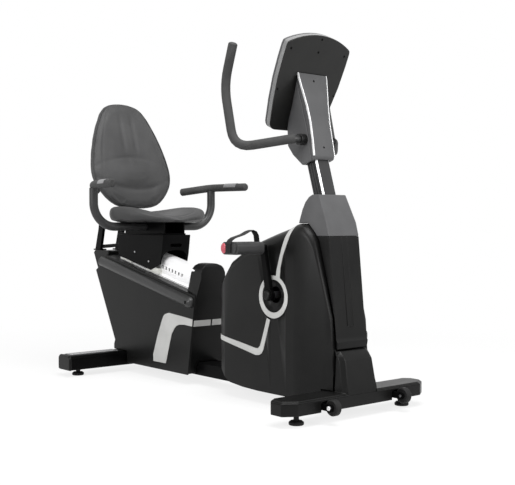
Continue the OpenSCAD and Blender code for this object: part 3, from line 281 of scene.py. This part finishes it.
def foam_sleeve(name, dark, light):
    """Closed-cell foam with a close pebble."""
    made = Finish(name, Specular_IOR_Level=0.22)
    pebble = made.cells(700)
    cloud = made.noise(18, 3)
    return made.drive(Base_Color=made.tint(cloud, dark, light), Roughness=0.68 + 0.12 * (cloud - 0.5),
                      Normal=made.bump(pebble, 0.5, 0.0006)).material


def soft_rubber(name, dark, light):
    """Matt rubber with a fine skin."""
    made = Finish(name, Specular_IOR_Level=0.2)
    cloud = made.noise(30, 3)
    fine = made.noise(800, 2)
    return made.drive(Base_Color=made.tint(cloud, dark, light), Roughness=0.62 + 0.14 * (cloud - 0.5),
                      Normal=made.bump(fine, 0.4, 0.0002)).material


def parted(name, divide, first, second, specular=0.3):
    """One piece in two finishes of two tones, roughness and metal each, the second where the divide is 1."""
    made = Finish(name, Specular_IOR_Level=specular)
    part = divide(made)
    cloud = made.noise(14, 3)
    fine = made.noise(800, 2)
    stops = [(0.05, first[0]), (0.15, first[1]), (0.85, second[0]), (0.95, second[1])]
    return made.drive(Base_Color=made.node("ShaderNodeValToRGB", {"stops": stops}, 0.8 * part + 0.2 * cloud),
                      Roughness=first[2] + (second[2] - first[2]) * part + 0.08 * (cloud - 0.5),
                      Metallic=first[3] + (second[3] - first[3]) * part,
                      Normal=made.bump(fine, 0.4, 0.0001)).material


def console_lit_walls(made):
    """The side walls of the console, ahead of its flat back, where painted light makes them a lighter grey
    than the back.
    """
    return made.axes(CONSOLE)[0].below(-0.0022)


def post_corners(made):
    """The rounded front corners of the post's profile."""
    ahead, across = made.axes(POST)[:2]
    return ahead.above(0.0195) * across.size().above(0.0268)


def collars(made):
    """The collars of the handlebar, behind and below the strips."""
    ahead, high = made.axes(Matrix.Identity(4))[::2]
    return ahead.below(0.588) * high.below(0.968)


housing_black = moulded_plastic("housing_black", grey(0.0040), grey(0.0062, 0.0060), 0.34, 0.145)
spine_grey = moulded_plastic("spine_grey", grey(0.074, 0.076), grey(0.090, 0.092), 0.44, 0.18)
bracket_grey = moulded_plastic("bracket_grey", grey(0.062, 0.064), grey(0.078, 0.080), 0.40, 0.28)
# Painted highlight: the side mouldings are a lighter grey than the housing, for the light along their rounded
# tops
moulding_painted_highlight = moulded_plastic("moulding_painted_highlight", grey(0.020), grey(0.028), 0.34, 0.36)
frame_black = coated_steel("frame_black", grey(0.0018, 0.0019), grey(0.0030, 0.0031), 0.36, 0.04)
tube_grey = coated_steel("tube_grey", grey(0.020, 0.0205), grey(0.030, 0.0305), 0.40, 0.34)
rail_alloy = drawn_metal("rail_alloy", grey(0.90, 0.91), grey(0.97), 0.36, turn=(0, radians(RAIL_SLOPE), 0),
                         stretch=(3, 500, 500), metallic=0.30)
strip_alloy = drawn_metal("strip_alloy", grey(0.26, 0.265), grey(0.34, 0.345), 0.38, stretch=(900, 6, 900),
                          metallic=0.30)
inlay_silver = moulded_plastic("inlay_silver", grey(0.40, 0.39), grey(0.48, 0.47), 0.46, 0.35)
brushed_plate = drawn_metal("brushed_plate", grey(0.24, 0.245), grey(0.34, 0.345), 0.34)
dark_screw = drawn_metal("dark_screw", grey(0.006), grey(0.012), 0.45)
# The console's plastic, with painted light on its side walls: they are a lighter grey than its back, for the
# light that falls on them
console_shell_painted_light = parted("console_shell_painted_light", console_lit_walls,
                       (grey(0.0070, 0.0066), grey(0.0095, 0.0090), 0.36, 0.0),
                       (grey(0.17), grey(0.21), 0.30, 0.0))
post_profile = parted("post_profile", post_corners,
                      (grey(0.016, 0.0165), grey(0.024, 0.0245), 0.38, 0.0),
                      (grey(0.78, 0.79), grey(0.88, 0.89), 0.28, 0.4))
bright_strip = parted("bright_strip", collars,
                      (grey(0.86, 0.87), grey(0.95), 0.22, 0.35),
                      (grey(0.006), grey(0.010), 0.22, 0.0), 0.5)
plain_steel = drawn_metal("plain_steel", grey(0.34, 0.35), grey(0.48, 0.49), 0.36)
copper_coils = drawn_metal("copper_coils", (0.30, 0.14, 0.07), (0.42, 0.20, 0.10), 0.40,
                           stretch=(400, 400, 400))
pad_vinyl = grained_vinyl("pad_vinyl", grey(0.042, 0.0425), grey(0.059, 0.0595))
welt_vinyl = grained_vinyl("welt_vinyl", grey(0.030, 0.0305), grey(0.042, 0.0425))
grip_foam = foam_sleeve("grip_foam", grey(0.034), grey(0.050))
black_rubber = soft_rubber("black_rubber", grey(0.006), grey(0.010))
pedal_resin = moulded_plastic("pedal_resin", grey(0.022, 0.0225), grey(0.032, 0.0325), 0.40, 0.34, 700)
natural_nylon = moulded_plastic("natural_nylon", grey(0.62, 0.58), grey(0.72, 0.68), 0.40, 0.4)
dark_window = moulded_plastic("dark_window", (0.006, 0.007, 0.008), (0.009, 0.010, 0.011), 0.10, 0.5, 300,
                              0.00001)
key_film = moulded_plastic("key_film", grey(0.030, 0.032), grey(0.040, 0.042), 0.30, 0.4)
reflector_red = moulded_plastic("reflector_red", (0.30, 0.030, 0.050), (0.46, 0.075, 0.10), 0.18, 0.5, 260,
                                0.0004)
white_hub = moulded_plastic("white_hub", grey(0.60), grey(0.72), 0.40, 0.4)


# Modelling tools

def solo(piece):
    """Leaves one object selected and active."""
    bpy.ops.object.select_all(action="DESELECT")
    piece.select_set(True)
    bpy.context.view_layer.objects.active = piece


def started(primitive, **sizes):
    """A new primitive, added with nothing else selected."""
    bpy.ops.object.select_all(action="DESELECT")
    primitive(**sizes)
    return bpy.context.object


def linked(name, data):
    """A new object in the scene."""
    piece = bpy.data.objects.new(name, data)
    scene.collection.objects.link(piece)
    return piece


def settle(piece, matrix=None):
    """Puts a piece's place into its mesh and leaves its object at the origin."""
    if matrix is not None:
        piece.matrix_world = matrix @ piece.matrix_world
    solo(piece)
    bpy.context.view_layer.update()
    bpy.ops.object.transform_apply(location=True, rotation=True, scale=True)
    return piece


def modified(piece, kind, **settings):
    """A new modifier with its settings."""
    modifier = piece.modifiers.new(kind, kind)
    for key, value in settings.items():
        setattr(modifier, key, value)
    return modifier


def apply_all(piece):
    """Applies the modifiers in their order."""
    solo(piece)
    for modifier in list(piece.modifiers):
        bpy.ops.object.modifier_apply(modifier=modifier.name)


def mark_sharp(piece, angle, shortest):
    """Weights for the bevel: the sharp edges that aren't shorter than the limit."""
    mesh = piece.data
    sides = {}
    for face in mesh.polygons:
        for key in face.edge_keys:
            sides.setdefault(key, []).append(face.normal)
    weights = mesh.attributes.new("bevel_weight_edge", "FLOAT", "EDGE").data
    for edge, weight in zip(mesh.edges, weights):
        ends = [mesh.vertices[index].co for index in edge.vertices]
        faces = sides.get(edge.key, ())
        sharp = len(faces) == 2 and faces[0].angle(faces[1], 0) > radians(angle)
        weight.value = float(sharp and (ends[0] - ends[1]).length >= shortest)


def eased(piece, width, segments=2, angle=32, shortest=0.0):
    """Rounds the sharp edges and shades the rest smooth."""
    if width:
        mark_sharp(piece, angle, shortest)
        modified(piece, "BEVEL", width=width, segments=segments, limit_method="WEIGHT",
                 use_clamp_overlap=not shortest)
        apply_all(piece)
    solo(piece)
    bpy.ops.object.shade_smooth_by_angle(angle=radians(angle))
    if width:
        modified(piece, "WEIGHTED_NORMAL", keep_sharp=True)
        apply_all(piece)
    return piece


def painted(piece, material, body):
    """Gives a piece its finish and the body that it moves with."""
    piece.data.materials.clear()
    piece.data.materials.append(material)
    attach(piece, body)
    return piece


def copy_of(node, name):
    """A clean copy of a solid: doubles merged and flat triangles joined."""
    piece = linked(name, frame["nodes"][node].data.copy())
    solo(piece)
    bpy.ops.object.mode_set(mode="EDIT")
    bpy.ops.mesh.select_all(action="SELECT")
    bpy.ops.mesh.remove_doubles(threshold=0.0002)
    bpy.ops.mesh.dissolve_limited(angle_limit=radians(0.4))
    bpy.ops.object.mode_set(mode="OBJECT")
    return piece


def eased_node(node, material, width, segments=2, angle=32, shortest=0.0):
    """A solid shown with rounded edges and its own finish."""
    piece = eased(copy_of(node, node + "_eased"), width, segments, angle, shortest)
    painted(piece, material, frame["nodes"][node]["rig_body"])
    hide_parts(node)


def plain_node(node, material):
    """A solid shown as it is, in its own finish."""
    mesh = frame["nodes"][node].data
    mesh.materials.clear()
    mesh.materials.append(material)


def pick_faces(piece, test):
    """Enters edit mode with only the faces selected that pass the test."""
    solo(piece)
    bpy.ops.object.mode_set(mode="EDIT")
    bpy.ops.mesh.select_mode(type="FACE")
    bpy.ops.mesh.select_all(action="DESELECT")
    bpy.ops.object.mode_set(mode="OBJECT")
    for face in piece.data.polygons:
        face.select = bool(test(face))
    bpy.ops.object.mode_set(mode="EDIT")


def round_head(radius, depth, sunk):
    """A screw head or cap: a disc with a raised rim and a sunk middle, its axis along z."""
    piece = started(bpy.ops.mesh.primitive_cylinder_add, vertices=28, radius=radius, depth=depth,
                    location=(0, 0, depth / 2))
    settle(piece)
    pick_faces(piece, lambda face: face.normal.z > 0.9)
    bpy.ops.mesh.inset(thickness=radius * 0.28)
    bpy.ops.transform.translate(value=(0, 0, depth * 0.25))
    bpy.ops.mesh.inset(thickness=radius * 0.30)
    bpy.ops.transform.translate(value=(0, 0, -depth * sunk))
    bpy.ops.object.mode_set(mode="OBJECT")
    return eased(piece, radius * 0.06, 2, 40)


def domed_lens(size):
    """The upper half of a flattened ball on a short skirt, its axis along z."""
    piece = started(bpy.ops.mesh.primitive_uv_sphere_add, segments=32, ring_count=16, radius=0.5)
    piece.scale = size
    settle(piece)
    bpy.ops.object.mode_set(mode="EDIT")
    bpy.ops.mesh.select_all(action="SELECT")
    bpy.ops.mesh.bisect(plane_co=(0, 0, 0), plane_no=(0, 0, 1), clear_inner=True, use_fill=True)
    bpy.ops.object.mode_set(mode="OBJECT")
    pick_faces(piece, lambda face: face.normal.z < -0.9)
    bpy.ops.mesh.extrude_region_move(TRANSFORM_OT_translate={"value": (0, 0, -0.002)})
    bpy.ops.object.mode_set(mode="OBJECT")
    return eased(piece, 0)


def set_out(pattern, material, places):
    """Copies of one modelled piece, each with its own mesh, name, body and place."""
    for name, body, matrix in places:
        painted(settle(linked(name, pattern.data.copy()), matrix), material, body)
    bpy.data.objects.remove(pattern)


def on_side(x, y, z, side):
    """A place on the right or left of the machine whose z points away from the middle plane."""
    turn = Vector((0, 0, 1)).rotation_difference(Vector((0, side, 0)))
    return Matrix.Translation((x, side * y, z)) @ turn.to_matrix().to_4x4()


def welt(name, outline, radius, matrix, material, body):
    """Piping: a flat closed curve with a round section, made a mesh."""
    curve = bpy.data.curves.new(name, "CURVE")
    curve.dimensions = "2D"
    curve.fill_mode = "NONE"
    curve.bevel_depth = radius
    curve.bevel_resolution = 3
    spline = curve.splines.new("BEZIER")
    spline.bezier_points.add(len(outline) - 1)
    spline.use_cyclic_u = True
    spline.resolution_u = 8
    for knot, place in zip(spline.bezier_points, outline):
        knot.co = (*place, 0)
        knot.handle_left_type = "AUTO"
        knot.handle_right_type = "AUTO"
    solo(linked(name, curve))
    bpy.ops.object.convert(target="MESH")
    piece = settle(bpy.context.object, matrix)
    bpy.ops.object.shade_smooth()
    painted(piece, material, body)


# Camera and stage

def make_camera():
    """The camera that was fitted to the photograph."""
    data = bpy.data.cameras.new("photo_camera")
    data.sensor_width = 36
    data.lens = 65.27
    camera = linked("photo_camera", data)
    camera.location = (2.965, -2.274, 0.650)
    camera.rotation_euler = (radians(90 - 1.195), 0, radians(50.05))
    scene.camera = camera


def make_floor():
    """A white floor that keeps the object's shadow and fades into the surround."""
    floor = started(bpy.ops.mesh.primitive_plane_add, size=24, location=(0, 0, -0.0005))
    floor.name = "studio_floor"
    ground = Finish("studio_floor", Base_Color=(0.9, 0.9, 0.9, 1), Roughness=0.9, Specular_IOR_Level=0.0)
    reach = ground.node("ShaderNodeVectorMath", {"operation": "LENGTH"}, ground.place(), out="Value")
    fade = ground.node("ShaderNodeMapRange", {}, reach, 0.9, 2.4, 0.80, 1.0)
    glow = ground.node("ShaderNodeEmission", {})
    plain = Field(ground, ground.shader.outputs["BSDF"])
    mixed = ground.node("ShaderNodeMixShader", {}, fade * ground.shown(), plain, glow)
    ground.feed(ground.tree.nodes["Material Output"].inputs["Surface"], mixed)
    floor.data.materials.append(ground.material)


def make_light():
    """A white surround that lights the object less than it shows, and four soft boxes."""
    scene.world = bpy.data.worlds.new("studio")
    scene.world.use_nodes = True
    sky = Shading(scene.world.node_tree)
    back = sky.tree.nodes["Background"]
    sky.feed(back.inputs["Color"], (1, 1, 1, 1))
    sky.feed(back.inputs["Strength"], sky.node("ShaderNodeMapRange", {}, sky.shown(), 0.0, 1.0, 0.34, 1.0))
    for name, place, target, size, power in (
            ("top_softbox", (1.3, -0.4, 4.2), (0.0, 0, 0.5), 2.6, 165),
            ("front_softbox", (4.6, 1.2, 2.4), (0.3, 0, 0.7), 2.0, 100),
            ("side_softbox", (0.6, -4.4, 3.0), (0.0, 0, 0.8), 1.6, 70),
            ("low_softbox", (0.2, -4.6, 1.5), (-0.2, 0, 0.8), 1.2, 45)):
        data = bpy.data.lights.new(name, "AREA")
        data.size = size
        data.energy = power
        lamp = linked(name, data)
        lamp.location = place
        lamp.rotation_euler = (Vector(target) - Vector(place)).to_track_quat("-Z", "Y").to_euler()


# Soft pads

def filled(piece, pressure, reach, steps=16):
    """A short cloth run under inner pressure, in which no point moves further than the reach."""
    starts = [vertex.co.copy() for vertex in piece.data.vertices]
    cloth = modified(piece, "CLOTH")
    cloth.settings.quality = 4
    cloth.settings.use_pressure = True
    cloth.settings.uniform_pressure_force = pressure
    cloth.settings.tension_stiffness = 30
    cloth.settings.compression_stiffness = 30
    cloth.settings.effector_weights.gravity = 0
    cloth.point_cache.frame_start = 1
    cloth.point_cache.frame_end = steps
    for step in range(1, steps + 1):
        scene.frame_set(step)
    apply_all(piece)
    for vertex, start in zip(piece.data.vertices, starts):
        move = vertex.co - start
        if move.length > reach:
            vertex.co = start + move * (reach / move.length)
    scene.frame_set(1)


def stuffed(node, name, seams):
    """An upholstered pad: the solid's form, remeshed, sewn down, filled and smoothed."""
    piece = copy_of(node, name)
    modified(piece, "REMESH", mode="VOXEL", voxel_size=0.005)
    modified(piece, "SMOOTH", factor=0.5, iterations=5)
    apply_all(piece)
    for vertex in piece.data.vertices:
        vertex.co = seams(vertex.co)
    filled(piece, 1.6, 0.005)
    modified(piece, "SMOOTH", factor=0.5, iterations=2)
    modified(piece, "SUBSURF", levels=1, render_levels=1)
    apply_all(piece)
    bpy.ops.object.shade_smooth()
    painted(piece, pad_vinyl, "seat")
    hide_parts(node)


def bell(value, width):
    return exp(-(value / width) ** 2)


def ramp(value, length):
    """Rises from 0 to 1 over a length."""
    return min(1.0, max(0.0, value / length))


def back_half(high):
    """The half width of the back pad at a height, in metres."""
    for (low, first), (top, last) in zip(BACK_OUTLINE, BACK_OUTLINE[1:]):
        if high * 1000 <= top:
            part = max(0.0, (high * 1000 - low) / (top - low))
            return 0.001 * (first + (last - first) * part)
    return 0.001 * BACK_OUTLINE[-1][1]


def back_seams(point):
    """A rolled edge, two channels down the upper back, a tuck over and one under the waist roll."""
    spot = BACK.inverted() @ point
    if spot.x > BACK_FLAT:
        edge = ramp(abs(spot.y) / back_half(spot.z) - ROLL_START, 1 - ROLL_START)
        front = ramp(spot.x - BACK_FLAT, BACK_THICK)
        deep, wide, place = ROLL_SEAM
        spot.x -= front * (ROLL_DEEP * edge ** 2 + deep * bell(edge - place, wide))
        deep, wide, place = CHANNEL
        rise = ramp(spot.z - CHANNEL_LOW, CHANNEL_FADE) * ramp(CHANNEL_HIGH - spot.z, CHANNEL_FADE)
        spot.x -= deep * rise * (bell(spot.y - place, wide) + bell(spot.y + place, wide))
        for (deep, wide, place), sag, reach in ((UPPER_TUCK, 1.2, 0.12), (LOWER_TUCK, -1.6, 0.15)):
            spot.x -= deep * bell(spot.z - place + sag * spot.y ** 2, wide) * bell(spot.y, reach)
    return BACK @ spot


def seat_seams(point):
    """A stitched line inside the raised rim."""
    deep, wide, place = SEAT_SEAM
    along = (point.x - SEAT_MIDDLE) / (SEAT_AHEAD if point.x > SEAT_MIDDLE else SEAT_BEHIND)
    ring = (abs(along) ** 2.33 + abs(point.y / SEAT_HALF) ** 2.33) ** 0.43
    if point.z > SEAT_FLAT:
        point.z -= deep * bell(ring - place, wide)
    return point


make_camera()
make_floor()
make_light()

# Large mouldings and steel work, with their short edges left alone
for node in ("rear_shell_right", "rear_shell_left", "rear_front_cover", "rear_end_cap", "spine_cover",
             "front_base_cover", "rear_stabilizer_caps"):
    eased_node(node, housing_black, 0.0030, 3, shortest=SHORTEST)
eased_node("console_back", console_shell_painted_light, 0.0030, 3, shortest=SHORTEST)
eased_node("spine_cap", spine_grey, 0.0030, 3, shortest=SHORTEST)
for node in ("bracket_front_cover", "bracket_rear_cover"):
    eased_node(node, bracket_grey, 0.0035, 3, shortest=SHORTEST)
for node in ("rear_stabilizer", "front_stabilizer", "rear_lift_handle", "carriage", "seat_frame",
             "base_frame"):
    eased_node(node, frame_black, 0.0015, shortest=SHORTEST)

# Front shells, whose own facets are only shaded smooth
for node in ("front_shell_right", "front_shell_left"):
    eased_node(node, housing_black, 0, angle=50)

# Smaller pieces, with every sharp edge rounded
eased_node("side_mouldings", moulding_painted_highlight, 0.0020)
eased_node("back_shell", housing_black, 0.0030)
eased_node("console_bezel", spine_grey, 0.0020)
for node in ("crank_arm_right", "crank_arm_left"):
    eased_node(node, frame_black, 0.0030, 3)
eased_node("console_post", post_profile, 0.0006)
for node in ("arm_bar", "handlebar"):
    eased_node(node, tube_grey, 0.0006)
eased_node("seat_rail", rail_alloy, 0.0008)
eased_node("rear_step_strips", strip_alloy, 0.0005)
for node in ("rear_trims", "front_trims"):
    eased_node(node, inlay_silver, 0.0004)
eased_node("bracket_trims", bright_strip, 0.0005)
eased_node("pulse_plates", brushed_plate, 0.0005)
for node in ("handlebar_grips", "armrest_grips"):
    eased_node(node, grip_foam, 0.0020, angle=50)
for node in ("pedal_right", "pedal_left"):
    eased_node(node, pedal_resin, 0.0010)
for node in ("pedal_strap_right", "pedal_strap_left", "wheel_right", "wheel_left", "foot_front_right",
             "foot_front_left", "foot_rear_right", "foot_rear_left"):
    eased_node(node, black_rubber, 0.0006)
eased_node("display_lens", dark_window, 0.0005)
eased_node("key_membrane", key_film, 0.0004)
eased_node("latch_lever", frame_black, 0.0010)

# Pieces that are hidden or too small to ease
for node in ("frame_bolts", "crank_bearings", "crank_spindle", "pedal_axles", "generator_rotor", "latch_pin"):
    plain_node(node, plain_steel)
plain_node("generator_stator", copper_coils)
plain_node("drive_belt", black_rubber)
plain_node("drive_pulley", housing_black)
plain_node("carriage_glides", natural_nylon)

stuffed("seat_pad", "seat_cushion", seat_seams)
stuffed("back_pad", "back_cushion", back_seams)

# Dust caps over the crank bolts
crank = AXES["crank_spin"]
set_out(round_head(0.0165, 0.0085, 0.27), housing_black,
        [(hand + "_crank_cap", "crank", on_side(crank[0], CRANK_CAP_Y, crank[2], side))
         for hand, side in SIDES])

# Caps on the wheel axles
wheel = AXES["right_wheel_spin"]
set_out(round_head(0.0070, 0.0055, 0.30), white_hub,
        [(hand + "_axle_cap", "frame", on_side(wheel[0], AXLE_CAP_Y, wheel[2], side))
         for hand, side in SIDES])

# Screws in the noses of the side mouldings
nose = RAIL @ Vector((MOULDING_SCREW[0], 0, MOULDING_SCREW[1]))
set_out(round_head(0.0064, 0.0030, 0.75), plain_steel,
        [(hand + "_moulding_screw", "frame", on_side(nose.x, MOULDING_SCREW_Y, nose.z, side))
         for hand, side in SIDES])

# Screws in the sides of the carriage: on the left the latch pin has the place of the front one
set_out(round_head(0.0044, 0.0030, 0.55), plain_steel,
        [("%s_carriage_screw_%d" % (hand, number), "seat", on_side(x, CARRIAGE_SCREW_Y, z, side))
         for hand, side in SIDES for number, (x, z) in enumerate(CARRIAGE_SCREWS)
         if (hand, number) != ("left", 1)])

# Reflectors in the outer ends of the pedals
set_out(domed_lens(REFLECTOR_SIZE), reflector_red,
        [(hand + "_reflector", hand + "_pedal",
          on_side(pedal[0] - REFLECTOR_BACK, REFLECTOR_Y, pedal[2], side))
         for hand, side in SIDES for pedal in [AXES[hand + "_pedal_spin"]]])

# Screws in the back of the console
set_out(round_head(0.0042, 0.0020, 0.65), dark_screw,
        [("console_screw_%d" % number, "frame", CONSOLE @ Matrix.Translation((CONSOLE_SCREW_SEAT, across, up))
          @ Matrix.Rotation(radians(90), 4, "Y")) for number, (across, up) in enumerate(CONSOLE_SCREWS)])

# Piping round the front edge of the back pad
half = [(0.001 * PIPING_SHARE * wide, 0.001 * (PIPING_MIDDLE + PIPING_SHARE * (high - PIPING_MIDDLE)))
        for high, wide in BACK_OUTLINE]
loop = half + [(-wide, high) for wide, high in reversed(half)]
lay = Matrix(((0, 0, 1, PIPING_DEEP), (1, 0, 0, 0), (0, 1, 0, 0), (0, 0, 0, 1)))
welt("back_piping", loop, PIPING_RADIUS, BACK @ lay, welt_vinyl, "seat")
